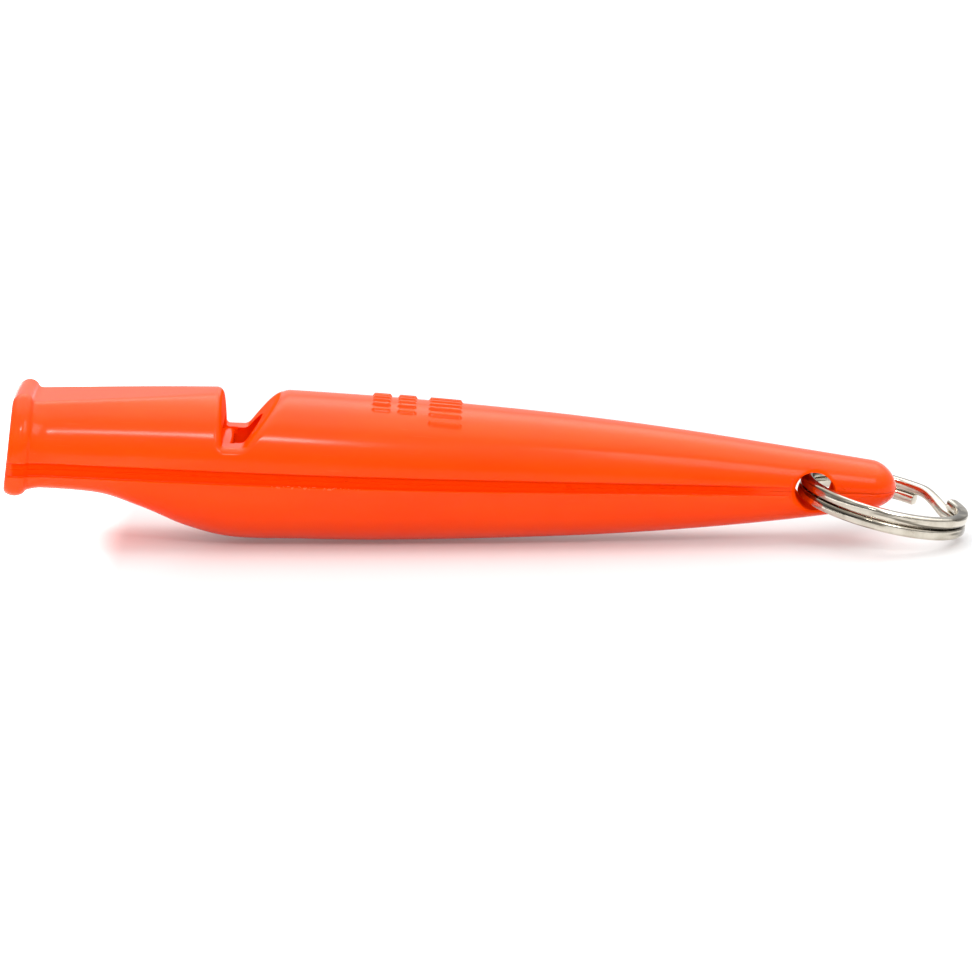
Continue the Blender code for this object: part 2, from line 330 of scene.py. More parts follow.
def smooth_curve(points):
    """Return a function that runs smoothly through the points and takes arrays."""
    xs = np.array([x for x, value in points], float)
    ys = np.array([value for x, value in points], float)
    low = np.maximum(np.arange(len(xs)) - 1, 0)
    high = np.minimum(np.arange(len(xs)) + 1, len(xs) - 1)
    slopes = (ys[high] - ys[low]) / (xs[high] - xs[low])

    def value_at(x):
        x = np.clip(x, xs[0], xs[-1])
        i = np.clip(np.searchsorted(xs, x) - 1, 0, len(xs) - 2)
        span = xs[i + 1] - xs[i]
        t = (x - xs[i]) / span
        start = (1 + 2 * t) * (1 - t) ** 2 * ys[i] + t * (1 - t) ** 2 * span * slopes[i]
        end = t * t * (3 - 2 * t) * ys[i + 1] + t * t * (t - 1) * span * slopes[i + 1]
        return start + end

    return value_at


half_width_at = smooth_curve(HALF_WIDTH)
crest_at = smooth_curve(CREST)
mouth_flat_at = smooth_curve(MOUTH_FLAT)
belly_at = smooth_curve(BELLY)
belly_power_at = smooth_curve(BELLY_POWER)
groove_top_at = smooth_curve(GROOVE_TOP)
groove_bottom_at = smooth_curve(GROOVE_BOTTOM)
groove_depth_at = smooth_curve(GROOVE_DEPTH)
weld_line_at = smooth_curve(WELD_LINE)


def smooth_step(value, low, high):
    t = np.clip((value - low) / (high - low), 0.0, 1.0)
    return t * t * (3 - 2 * t)


def round_max(a, b, radius):
    """Intersection of two distance fields with a round convex edge."""
    corner = np.hypot(np.maximum(a + radius, 0.0), np.maximum(b + radius, 0.0))
    return np.minimum(np.maximum(a, b), -radius) + corner


def rim_bulge(x, side):
    """How far the lip's round bead stands proud; it is lower and melts into the wall at the sides."""
    fillet = RIM_FILLET + (RIM_SIDE_FILLET - RIM_FILLET) * side
    across = np.clip(x - RIM_RADIUS, -RIM_RADIUS, RIM_RADIUS)
    bead = RIM_HEIGHT * (1 - RIM_SIDE_LOSS * side) - RIM_RADIUS + np.sqrt(RIM_RADIUS ** 2 - across ** 2)
    bead = bead - np.maximum(x - 2 * RIM_RADIUS, 0.0)
    blend = np.maximum(fillet - np.abs(bead), 0.0)
    return np.maximum(bead, 0.0) + blend ** 2 / (4 * fillet)


def tip_scale(x):
    along = np.clip((x - TIP_START) / TIP_ROUNDING, 0.0, 1.0)
    return np.sqrt(1 - along ** 2)


def section_distance(y, z, width, height, power):
    """Distance outside a half superellipse; z counts from the parting plane, and is level below it."""
    u = np.abs(y) / width
    v = np.maximum(z, 0.0) / height
    g = np.maximum((u ** power + v ** power) ** (1 / power), 1e-6)
    slope = np.hypot((u / g) ** (power - 1) / width, (v / g) ** (power - 1) / height)
    return (g - 1) / np.maximum(slope, 1e-9)


def notch_distance(x, z):
    """Distance outside the wedge-shaped notch, in the x-z plane."""
    wall = -((x - WINDWAY_END) * math.cos(NOTCH_DRAFT) + (z - WINDOW_FLOOR) * math.sin(NOTCH_DRAFT))
    floor = WINDOW_FLOOR - z
    ramp = (x - LABIUM_EDGE) * math.sin(LABIUM_ANGLE) - (z - WINDOW_FLOOR) * math.cos(LABIUM_ANGLE)
    return round_max(round_max(wall, floor, NOTCH_CORNER), ramp, NOTCH_CORNER)


def bar(x, y, centre_x, centre_y, half_length, half_width, corner):
    """Distance outside a rounded bar lying along x."""
    dx = np.abs(x - centre_x) - half_length + corner
    dy = np.abs(y - centre_y) - half_width + corner
    outside = np.hypot(np.maximum(dx, 0.0), np.maximum(dy, 0.0))
    return outside + np.minimum(np.maximum(dx, dy), 0.0) - corner


def mark_distance(x, y):
    """Distance outside the nearest raised rib: three columns of plain equal ribs that never touch."""
    nearest = np.full(np.broadcast(x, y).shape, FAR_OUTSIDE)
    for centre_x, half_length, half_count in RIB_COLUMNS:
        for row in range(-half_count, half_count + 1):
            rib = bar(x, y, centre_x, RIB_PITCH * row, half_length, RIB_HALF_WIDTH, RIB_CORNER)
            nearest = np.minimum(nearest, rib)
    return nearest


def upper_field(x, y, z):
    """Distance outside the upper half, without its hollows."""
    scale = tip_scale(x)
    width = half_width_at(x) * scale + THIN
    crest = crest_at(x) * scale + THIN
    bulge = rim_bulge(x, smooth_step(np.abs(y), *RIM_SIDES))
    field = section_distance(y, z, width, crest, CREST_POWER) - bulge
    flat = np.where(x < MOUTH_FLAT[-1][0], z - mouth_flat_at(x) - bulge, -FAR_OUTSIDE)
    field = round_max(field, flat, FLAT_ROUNDING)
    rounding = NOTCH_ROUNDING + (RAMP_ROUNDING - NOTCH_ROUNDING) * smooth_step(x, *ROUNDING_CHANGE)
    field = round_max(field, -notch_distance(x, z), rounding)
    raised = MARK_HEIGHT * (1 - smooth_step(mark_distance(x, y), -MARK_EDGE, MARK_EDGE))
    field = field - raised
    return round_max(field, groove_top_at(x) * scale - z, EDGE_ROUNDING * scale)


def lower_field(x, y, z):
    """Distance outside the lower half, without its hollows."""
    scale = tip_scale(x)
    width = half_width_at(x) * scale + THIN
    belly = belly_at(x) * scale + THIN
    bulge = rim_bulge(x, smooth_step(np.abs(y), *RIM_SIDES))
    field = section_distance(y, -z, width, belly, belly_power_at(x)) - bulge
    return round_max(field, z - groove_bottom_at(x) * scale, EDGE_ROUNDING * scale)


def lean(x, y, z):
    """The mouth end leans back and is a little bowed across its width."""
    near_mouth = np.clip(1 - x / MOUTH_LEAN_LENGTH, 0.0, 1.0)
    bow = MOUTH_BOW * np.clip(1 - (y / HALF_WIDTH[0][1]) ** 2, -0.5, 1.0)
    return x + (MOUTH_LEAN * z - MOUTH_REACH - bow) * near_mouth


def stations(zones):
    """Places along the axis from (end, step) zones, then round the tail's tip."""
    places = []
    start = 0.0
    for end, step in zones:
        count = max(1, round((end - start) / step))
        places.extend(start + (end - start) * np.arange(count) / count)
        start = end
    turn = np.linspace(0, math.pi / 2, TIP_STATIONS)
    places.extend(TIP_START + TIP_ROUNDING * np.sin(turn[:-1]))
    return np.array(places)


def section_rings(field, places, count, upward):
    """Outline of a half at each place, found along rays, with its groove wall and weld face."""
    scale = tip_scale(places)
    edge = np.where(upward > 0, groove_top_at(places), groove_bottom_at(places)) * scale
    far = np.where(upward > 0, crest_at(places), -belly_at(places)) * scale
    centre = edge + upward * np.minimum(RAY_START_DEPTH, RAY_START_SHARE * np.abs(far - edge))
    inner = (half_width_at(places) - groove_depth_at(places)) * scale + rim_bulge(places, 1.0)
    start = np.arctan2(edge - centre, inner)
    t = np.linspace(0, 1, count)
    t = t - RAY_CROWDING * np.sin(2 * math.pi * t) / (2 * math.pi)
    angle = start[:, None] * upward + (math.pi - 2 * start[:, None] * upward) * t[None, :]
    step_y = np.cos(angle)
    step_z = np.sin(angle) * upward
    x = np.repeat(places[:, None], count, 1)
    low = np.zeros_like(angle)
    high = np.full_like(angle, RAY_LENGTH)
    for halving in range(RAY_HALVINGS):
        middle = (low + high) / 2
        outside = field(x, step_y * middle, centre[:, None] + step_z * middle) > 0
        high = np.where(outside, middle, high)
        low = np.where(outside, low, middle)
    y = step_y * high
    z = centre[:, None] + step_z * high
    weld = (weld_line_at(places) + upward * WELD_GAP / 2) * scale
    y = np.concatenate([y, y[:, -1:], y[:, :1]], 1)
    z = np.concatenate([z, weld[:, None], weld[:, None]], 1)
    x = np.repeat(places[:, None], y.shape[1], 1)
    return np.stack([lean(x, y, z), y, z], 2)


def mesh_object(name, vertices, faces):
    """Make an object in metres from millimetre points, with outward faces and smooth shading."""
    mesh = bpy.data.meshes.new(name)
    mesh.from_pydata((np.asarray(vertices, float) * MM).tolist(), [], faces)
    bm = bmesh.new()
    bm.from_mesh(mesh)
    bmesh.ops.recalc_face_normals(bm, faces=bm.faces)
    bm.to_mesh(mesh)
    bm.free()
    mesh.shade_smooth()
    mesh.set_sharp_from_angle(angle=SHARP_LOFT)
    obj = bpy.data.objects.new(name, mesh)
    bpy.context.scene.collection.objects.link(obj)
    return obj


def loft(name, rings):
    """Join closed rings of equal length into a solid with a flat cap at each end."""
    rings = np.asarray(rings, float)
    rows, count = rings.shape[:2]
    first = np.arange(rows - 1)[:, None] * count
    i = np.arange(count)[None, :]
    j = (i + 1) % count
    quads = np.stack([first + i, first + j, first + count + j, first + count + i], 2).reshape(-1, 4)
    faces = quads.tolist()
    faces.append(list(range(count)))
    faces.append(list(range(rows * count - 1, (rows - 1) * count - 1, -1)))
    return mesh_object(name, rings.reshape(-1, 3), faces)


def combine(target, tool, operation):
    """Apply a closed tool to a closed solid and remove the tool."""
    modifier = target.modifiers.new("combine", "BOOLEAN")
    modifier.operation = operation
    modifier.solver = "MANIFOLD"
    modifier.object = tool
    depsgraph = bpy.context.evaluated_depsgraph_get()
    mesh = bpy.data.meshes.new_from_object(target.evaluated_get(depsgraph), depsgraph=depsgraph)
    target.modifiers.clear()
    old = target.data
    target.data = mesh
    bpy.data.meshes.remove(old)
    bpy.data.objects.remove(tool)


def rounded_box_rings(places, half_width, low, high, corner):
    """Rings of a box with round corners, for a channel along x."""
    rings = []
    for x, bottom, top in zip(places, low, high):
        ring = []
        for quarter, (sy, z) in enumerate(((1, top), (-1, top), (-1, bottom), (1, bottom))):
            centre_y = sy * (half_width - corner)
            centre_z = z - corner if z == top else z + corner
            for k in range(CORNER_STEPS + 1):
                angle = math.pi / 2 * (quarter + k / CORNER_STEPS)
                ring.append((x, centre_y + corner * math.cos(angle), centre_z + corner * math.sin(angle)))
        rings.append(ring)
    return rings


def half_ellipse(width, height):
    """Half of a hollow's outline, lifted a little so that the two halves make one closed ring."""
    angle = np.linspace(0, math.pi, HOLLOW_POINTS)
    return list(zip(width * np.cos(angle), height * np.abs(np.sin(angle)) + HOLLOW_LIFT))


def hollow_cutter(start, end):
    """A closed round cavity through both halves, never nearer the outside than the wall."""
    rings = []
    for x in np.linspace(start, end, HOLLOW_STATIONS):
        width = min(float(half_width_at(x)) - WALL, BORE_RADIUS)
        over = half_ellipse(width, min(float(crest_at(x)) - WALL, BORE_RADIUS))
        under = half_ellipse(width, min(float(belly_at(x)) - WALL, BORE_RADIUS))
        rings.append([(x, y, z) for y, z in over] + [(x, -y, -z) for y, z in under])
    return loft("hollow", rings)


def windway_cutter():
    """The blowing channel; its roof comes down towards the window."""
    places = [x for x, rise in ROOF_STEPS] + [CHAMBER[0] + WINDWAY_OVERRUN]
    roof = [ROOF_AT_MOUTH + rise for x, rise in ROOF_STEPS] + [ROOF_AT_WINDOW]
    low = [WINDWAY_ROOT] * len(places)
    return loft("windway", rounded_box_rings(places, WINDWAY_WIDTH / 2, low, roof, WINDWAY_CORNER))


def hole_cutter():
    """Round cross hole with flared mouths: a turned profile about the Y axis."""
    mouth = float(half_width_at(HOLE_X))
    profile = []
    for k in range(HOLE_FLARE_STEPS + 1):
        angle = math.pi / 2 * k / HOLE_FLARE_STEPS
        y = mouth - HOLE_FLARE + HOLE_FLARE * math.sin(angle)
        profile.append((HOLE_RADIUS + HOLE_FLARE * (1 - math.cos(angle)), y))
    profile.append((HOLE_RADIUS + HOLE_FLARE + HOLE_OVERSHOOT[0], mouth + HOLE_OVERSHOOT[1]))
    profile = [(radius, -y) for radius, y in reversed(profile)] + profile
    turn = np.linspace(0, math.tau, HOLE_SIDES, endpoint=False)
    rings = []
    for radius, y in profile:
        rings.append([(HOLE_X + radius * math.cos(a), y, radius * math.sin(a)) for a in turn])
    return loft("hole", rings)


def moulded_block():
    """The fipple block that stands in the channel; its top rolls over into the chamber."""
    half = WINDWAY_WIDTH / 2 - BLOCK_CLEARANCE
    places = [BLOCK_FRONT + back for back, down in BLOCK_FRONT_STEPS] + [BLOCK_MIDDLE]
    high = [BLOCK_TOP - down for back, down in BLOCK_FRONT_STEPS] + [BLOCK_TOP]
    for turn in np.linspace(0, math.pi / 2, BLOCK_END_STEPS):
        places.append(CHAMBER[0] + BLOCK_OVERRUN - BLOCK_END_ROUNDING * (1 - math.sin(turn)))
        high.append(BLOCK_TOP - BLOCK_END_ROUNDING * (1 - math.cos(turn)))
    low = [BLOCK_ROOT] * len(places)
    return loft("block", rounded_box_rings(places, half, low, high, BLOCK_CORNER))


def carve(body, cutters):
    """Take the cutters out of a half, then shade it afresh."""
    for cutter in cutters:
        combine(body, cutter, "DIFFERENCE")
    body.data.shade_smooth()
    body.data.set_sharp_from_angle(angle=SHARP_CUT)
    return body


def build_upper():
    body = loft("whistle_upper", section_rings(upper_field, stations(UPPER_ZONES), UPPER_RAYS, 1))
    hollows = (hollow_cutter(*CHAMBER), hollow_cutter(*REAR_HOLLOW))
    return carve(body, (windway_cutter(), *hollows, hole_cutter()))


def build_lower():
    body = loft("whistle_lower", section_rings(lower_field, stations(LOWER_ZONES), LOWER_RAYS, -1))
    combine(body, moulded_block(), "UNION")
    return carve(body, (hollow_cutter(*CHAMBER), hollow_cutter(*REAR_HOLLOW), hole_cutter()))


def signed_power(value, power):
    return np.sign(value) * np.abs(value) ** power


def wire_outline(shrink):
    """Flattened wire with softly domed faces."""
    angle = np.linspace(0, math.tau, WIRE_SIDES, endpoint=False)
    out = (WIRE_WIDTH / 2 - shrink) * signed_power(np.cos(angle), 2 / WIRE_POWER)
    up = (WIRE_HEIGHT / 2 - shrink) * signed_power(np.sin(angle), 2 / WIRE_POWER)
    return out, up


def build_ring():
    """Two level coils joined by one joggle, with softened cut ends."""
    coil = math.tau - JOGGLE_SPAN
    total = 2 * coil + JOGGLE_SPAN - END_CLEARANCE
    centre_x = RING_RADIUS - WIRE_WIDTH / 2 - RING_FORWARD
    swing = END_ROUNDING / RING_RADIUS
    turned = list(np.linspace(swing, total - swing, RING_STATIONS))
    shrink = [0.0] * len(turned)
    for k in range(1, END_STEPS + 1):
        angle = math.pi / 2 * k / END_STEPS
        turned.insert(0, swing * (1 - math.sin(angle)))
        shrink.insert(0, END_ROUNDING * (1 - math.cos(angle)))
        turned.append(total - swing * (1 - math.sin(angle)))
        shrink.append(END_ROUNDING * (1 - math.cos(angle)))
    rings = []
    for where, inset in zip(turned, shrink):
        angle = JOGGLE_START - where
        step = float(smooth_step(where, coil, coil + JOGGLE_SPAN))
        height = COIL_PITCH * (0.5 - step)
        out, up = wire_outline(inset)
        radius = RING_RADIUS + out
        outline = (centre_x + radius * math.cos(angle), radius * math.sin(angle), height + up)
        rings.append(np.stack(outline, 1))
    ring = loft("split_ring_wire", rings)
    turn = Matrix.Rotation(RING_DROOP, 4, "Y") @ Matrix.Rotation(RING_ROLL, 4, "X")
    ring.data.transform(Matrix.Translation(Vector(HINGE["pos_m"])) @ turn)
    return ring


def add_lump(vertices, faces, centre, size):
    """A small rounded lump of flash: a coarse ball, scaled to size."""
    first = len(vertices)
    rows = LUMP_ROWS
    around = LUMP_SIDES
    vertices.append((centre[0], centre[1], centre[2] + size[2]))
    for row in range(1, rows):
        tilt = math.pi * row / rows
        for k in range(around):
            turn = math.tau * k / around
            vertices.append((centre[0] + size[0] * math.sin(tilt) * math.cos(turn),
                             centre[1] + size[1] * math.sin(tilt) * math.sin(turn),
                             centre[2] + size[2] * math.cos(tilt)))
    vertices.append((centre[0], centre[1], centre[2] - size[2]))
    last = len(vertices) - 1
    for k in range(around):
        after = (k + 1) % around
        faces.append([first, first + 1 + k, first + 1 + after])
        for row in range(rows - 2):
            low = first + 1 + row * around
            faces.append([low + k, low + around + k, low + around + after, low + after])
        faces.append([last, last - around + after, last - around + k])


def surface_y(x, z):
    """Half width of the outside of the upper half at a height."""
    height = float(crest_at(x) * tip_scale(x))
    reach = max(0.0, 1 - (max(z, 0.0) / height) ** CREST_POWER) ** (1 / CREST_POWER)
    return float(half_width_at(x) * tip_scale(x)) * reach


def add_bead(vertices, faces, side, phase):
    """A thin uneven bead along the weld on one side, closed at both ends."""
    start, end = BEAD_SPAN
    full_from, full_to = BEAD_FULL
    places = np.arange(start, end, BEAD_STEP)
    first = len(vertices)
    for x in places:
        fade = float(smooth_step(x, start, full_from) * (1 - smooth_step(x, full_to, end)))
        ripple = math.sin(1.7 * x + phase) + math.sin(4.3 * x + 2 * phase) + math.sin(0.6 * x)
        radius = (BEAD_RADIUS + BEAD_RIPPLE * ripple) * fade + BEAD_LEAST
        centre_y = side * float(half_width_at(x) - groove_depth_at(x) + BEAD_INSET)
        centre_z = float(weld_line_at(x)) + BEAD_WANDER * math.sin(0.9 * x + phase)
        for k in range(BEAD_SIDES):
            turn = math.tau * k / BEAD_SIDES
            vertices.append((x, centre_y + radius * math.cos(turn), centre_z + radius * math.sin(turn)))
    for row in range(len(places) - 1):
        for k in range(BEAD_SIDES):
            low = first + row * BEAD_SIDES
            high = low + BEAD_SIDES
            after = (k + 1) % BEAD_SIDES
            faces.append([low + k, low + after, high + after, high + k])
    faces.append([first + k for k in range(BEAD_SIDES)])
    faces.append([first + (len(places) - 1) * BEAD_SIDES + k for k in reversed(range(BEAD_SIDES))])


def build_weld_flash():
    """The uneven bead that squeezed out of the weld inside the groove, and a few crumbs of flash."""
    chance = random.Random(FLASH_SEED)
    vertices = []
    faces = []
    for side in (-1, 1):
        add_bead(vertices, faces, side, chance.uniform(0, 6))
        for start, end, count in FLASH_RUNS:
            for k in range(count):
                x = chance.uniform(start, end)
                y = side * float(half_width_at(x) - groove_depth_at(x) + FLASH_INSET)
                z = float(weld_line_at(x)) + chance.uniform(-FLASH_SPREAD, FLASH_SPREAD)
                size = [chance.uniform(least, most) for least, most in FLASH_SIZES]
                add_lump(vertices, faces, (x, y, z), size)
        for x, z, length in BURRS:
            y = side * (surface_y(x, z) - BURR_INSET)
            add_lump(vertices, faces, (x, y, z), (length, *BURR_SIZE))
    return mesh_object("weld_flash", vertices, faces)


def principled(name):
    surface = bpy.data.materials.new(name)
    surface.use_nodes = True
    return surface, surface.node_tree, surface.node_tree.nodes["Principled BSDF"]


def add_node(tree, kind, **values):
    """Add a shader node, setting plain attributes and named inputs (underscores stand for spaces)."""
    node = tree.nodes.new(kind)
    for key, value in values.items():
        if hasattr(node, key):
            setattr(node, key, value)
        else:
            node.inputs[key.replace("_", " ")].default_value = value
    return node


def remap(tree, source, low, high, to_low, to_high):
    """Map a value smoothly from one range to another."""
    node = add_node(tree, "ShaderNodeMapRange", interpolation_type="SMOOTHSTEP")
    for name, value in (("From Min", low), ("From Max", high), ("To Min", to_low), ("To Max", to_high)):
        node.inputs[name].default_value = value
    tree.links.new(source, node.inputs["Value"])
    return node.outputs["Result"]


def noise(tree, vector, stretch, scale, detail=4.0, roughness=0.55):
    """Noise in object space, in waves per metre, stretched along an axis."""
    mapping = add_node(tree, "ShaderNodeMapping")
    mapping.inputs["Scale"].default_value = stretch
    tree.links.new(vector, mapping.inputs["Vector"])
    node = add_node(tree, "ShaderNodeTexNoise", Scale=scale, Detail=detail, Roughness=roughness)
    tree.links.new(mapping.outputs["Vector"], node.inputs["Vector"])
    return node.outputs["Fac"]


def combine_values(tree, operation, first, second):
    node = add_node(tree, "ShaderNodeMath", operation=operation)
    for socket, value in zip(node.inputs, (first, second)):
        if isinstance(value, (int, float)):
            socket.default_value = value
        else:
            tree.links.new(value, socket)
    return node.outputs["Value"]


def times(tree, first, second):
    return combine_values(tree, "MULTIPLY", first, second)


def between(tree, value, rise, fall):
    """A mask that fades in over the first range of a value and out over the second."""
    return times(tree, remap(tree, value, *rise, 0.0, 1.0), remap(tree, value, *fall, 1.0, 0.0))


def fade_past(start, fade):
    """A fade given in millimetres past a place, as a range in metres."""
    return [(start + distance) * MM for distance in fade]


def blend_colour(tree, factor, first, second):
    node = add_node(tree, "ShaderNodeMix", data_type="RGBA")
    for socket, value in (("A", first), ("B", second)):
        if isinstance(value, tuple):
            node.inputs[socket].default_value = (*value, 1)
        else:
            tree.links.new(value, node.inputs[socket])
    tree.links.new(factor, node.inputs["Factor"])
    return node.outputs["Result"]


def bump_chain(tree, layers):
    """Stack bumps given as (height, strength, depth in metres); return the normal."""
    normal = None
    for height, strength, depth in layers:
        node = add_node(tree, "ShaderNodeBump", Strength=strength, Distance=depth)
        tree.links.new(height, node.inputs["Height"])
        if normal is not None:
            tree.links.new(normal, node.inputs["Normal"])
        normal = node.outputs["Normal"]
    return normal


def axis_distance(tree, first, second):
    """Length of the vector made by two coordinates."""
    squares = [times(tree, part, part) for part in (first, second)]
    return combine_values(tree, "POWER", combine_values(tree, "ADD", *squares), 0.5)


def seam_shade_mask(tree, x, z):
    """Painted shade in the recessed band along the weld; its lower edge rises and it fades out towards the
    tail.
    """
    lower_edge = remap(tree, x, *SEAM_RISE, *SEAM_LOWER_EDGE)
    height = combine_values(tree, "SUBTRACT", z, lower_edge)
    above = remap(tree, height, *SEAM_SOFTNESS, 0.0, 1.0)
    below = remap(tree, z, *SEAM_UPPER_EDGE, 1.0, 0.0)
    return times(tree, times(tree, above, below), between(tree, x, SEAM_STARTS, SEAM_ENDS))


def scuff_mask(tree, x, z):
    """A stretch of the lower half's top edge, just behind the window."""
    return times(tree, between(tree, z, SCUFF_LOW, SCUFF_HIGH), between(tree, x, SCUFF_STARTS, SCUFF_ENDS))


def painted_glow_mask(tree, x, y, z):
    """Painted red glow on the chamber's wall and the bore of the tail hole, where light would come through
    the thin plastic.
    """
    wall = remap(tree, axis_distance(tree, y, z), *fade_past(BORE_RADIUS, CHAMBER_WALL_FADE), 1.0, 0.0)
    starts = fade_past(CHAMBER[0], CHAMBER_START_FADE)
    ends = fade_past(CHAMBER[1], CHAMBER_END_FADE)
    along = between(tree, x, starts, ends)
    hole = axis_distance(tree, combine_values(tree, "SUBTRACT", x, HOLE_X * MM), z)
    cross = remap(tree, hole, *fade_past(HOLE_RADIUS, HOLE_FADE), 1.0, 0.0)
    return combine_values(tree, "MAXIMUM", times(tree, wall, along), cross)


def cut_face_mask(tree, x, z, start_x, along_x, along_z):
    """A thin layer about a slanted plane through the notch's floor at start_x."""
    across = times(tree, combine_values(tree, "SUBTRACT", x, start_x * MM), along_x)
    rise = times(tree, combine_values(tree, "SUBTRACT", z, WINDOW_FLOOR * MM), along_z)
    distance = combine_values(tree, "ABSOLUTE", combine_values(tree, "ADD", across, rise), 0.0)
    return remap(tree, distance, *CUT_FACE_FADE, 1.0, 0.0)


def notch_mask(tree, x, z):
    """The cut faces of the notch, its ramp and its wall, which are less polished than the outside."""
    ramp = cut_face_mask(tree, x, z, LABIUM_EDGE, math.sin(LABIUM_ANGLE), -math.cos(LABIUM_ANGLE))
    wall = cut_face_mask(tree, x, z, WINDWAY_END, math.cos(NOTCH_DRAFT), math.sin(NOTCH_DRAFT))
    above_floor = remap(tree, z, *fade_past(WINDOW_FLOOR, NOTCH_FLOOR_FADE), 0.0, 1.0)
    return times(tree, combine_values(tree, "MAXIMUM", ramp, wall), above_floor)


def orange_plastic(name, colour, deep_colour, seed):
    """Glossy moulded plastic: faint flow lines, orange peel, hairline scratches, a scuffed weld edge,
    painted shade in the weld's groove and a painted glow in the chamber and hole.
    """
    surface, tree, shader = principled(name)
    link = tree.links.new
    coords = add_node(tree, "ShaderNodeTexCoord")
    place = add_node(tree, "ShaderNodeSeparateXYZ")
    link(coords.outputs["Object"], place.inputs["Vector"])
    x, y, z = (place.outputs[axis] for axis in "XYZ")
    shift = add_node(tree, "ShaderNodeMapping")
    shift.inputs["Location"].default_value = (seed, 0, 0)
    link(coords.outputs["Object"], shift.inputs["Vector"])
    here = shift.outputs["Vector"]

    flow = noise(tree, here, *FLOW_LINES)
    peel = noise(tree, here, *ORANGE_PEEL)
    smear = noise(tree, here, *SMEARS)
    scratch_area = remap(tree, noise(tree, here, *SCRATCH_AREAS), *SCRATCH_AREA_LEVELS, 0.0, 1.0)
    scratches = remap(tree, noise(tree, here, *SCRATCHES), *SCRATCH_LEVELS, 0.0, 1.0)
    scratches = times(tree, scratches, scratch_area)
    chips = remap(tree, noise(tree, here, *EDGE_CHIPS), *CHIP_LEVELS, 0.0, 1.0)
    scuff = times(tree, scuff_mask(tree, x, z), chips)
    worn = combine_values(tree, "MAXIMUM", scuff, times(tree, scratches, SCRATCH_STRENGTH))
    seam_shade = seam_shade_mask(tree, x, z)
    inside = painted_glow_mask(tree, x, y, z)
    cut_faces = notch_mask(tree, x, z)

    base = blend_colour(tree, remap(tree, flow, *FLOW_LEVELS, 0.0, 1.0), colour, deep_colour)
    scuffed = blend_colour(tree, times(tree, worn, WORN_TINT), base, WORN_ORANGE)
    # Painted shade in the weld's groove darkens the colour there.
    link(blend_colour(tree, seam_shade, scuffed, SEAM_SHADE_RED), shader.inputs["Base Color"])
    # Painted glow inside the chamber and the tail hole.
    shader.inputs["Emission Color"].default_value = PAINTED_GLOW_RED
    link(times(tree, inside, PAINTED_INNER_GLOW), shader.inputs["Emission Strength"])
    rough = remap(tree, smear, *SMEAR_LEVELS, *PLASTIC_ROUGHNESS)
    rough = combine_values(tree, "ADD", rough, times(tree, worn, WORN_ROUGHNESS))
    rough = combine_values(tree, "ADD", rough, times(tree, cut_faces, CUT_ROUGHNESS))
    link(rough, shader.inputs["Roughness"])
    layers = ((smear, *SMEAR_BUMP), (peel, *PEEL_BUMP), (worn, *WORN_BUMP))
    link(bump_chain(tree, layers), shader.inputs["Normal"])
    shader.inputs["Subsurface Weight"].default_value = SUBSURFACE
    shader.inputs["Subsurface Radius"].default_value = SUBSURFACE_RADIUS
    shader.inputs["Subsurface Scale"].default_value = SUBSURFACE_SCALE
    # The painted seam shade and the painted glow also lose their reflection, as do the cut faces.
    covered = combine_values(tree, "MAXIMUM", seam_shade, inside)
    covered = combine_values(tree, "MAXIMUM", covered, times(tree, cut_faces, CUT_DULLING))
    link(remap(tree, covered, 0.0, 1.0, SPECULAR_LEVEL, 0.0), shader.inputs["Specular IOR Level"])
    return surface


def nickel_plate():
    """Bright plated wire: painted dark reflection lines and fine drawing lines round the ring, soft dulling
    and small nicks.
    """
    surface, tree, shader = principled("nickel_plate")
    link = tree.links.new
    coords = add_node(tree, "ShaderNodeTexCoord")
    level = add_node(tree, "ShaderNodeMapping")
    level.inputs["Rotation"].default_value = (0, -RING_DROOP, 0)
    link(coords.outputs["Object"], level.inputs["Vector"])
    here = level.outputs["Vector"]
    # Painted dark reflection lines round the wire, darkening the plating's colour.
    painted_reflection = remap(tree, noise(tree, here, *PAINTED_REFLECTION_LINES), *PAINTED_REFLECTION_LEVELS, 0.0, PAINTED_REFLECTION_STRENGTH)
    drawn = noise(tree, here, *DRAWN_LINES)
    dull = noise(tree, here, *DULL_PATCHES)
    nicks = remap(tree, noise(tree, here, *NICKS), *NICK_LEVELS, 0.0, 1.0)
    plate = blend_colour(tree, remap(tree, dull, *DULL_LEVELS, 0.0, 1.0), NICKEL, DULL_NICKEL)
    link(blend_colour(tree, painted_reflection, plate, PAINTED_REFLECTION_DARK), shader.inputs["Base Color"])
    shader.inputs["Metallic"].default_value = 1.0
    rough = remap(tree, dull, *DULL_ROUGHNESS_LEVELS, *NICKEL_ROUGHNESS)
    rough = combine_values(tree, "ADD", rough, times(tree, nicks, NICK_ROUGHNESS))
    link(rough, shader.inputs["Roughness"])
    layers = ((dull, *DULL_BUMP), (drawn, *DRAWN_BUMP), (nicks, *NICK_BUMP))
    link(bump_chain(tree, layers), shader.inputs["Normal"])
    return surface


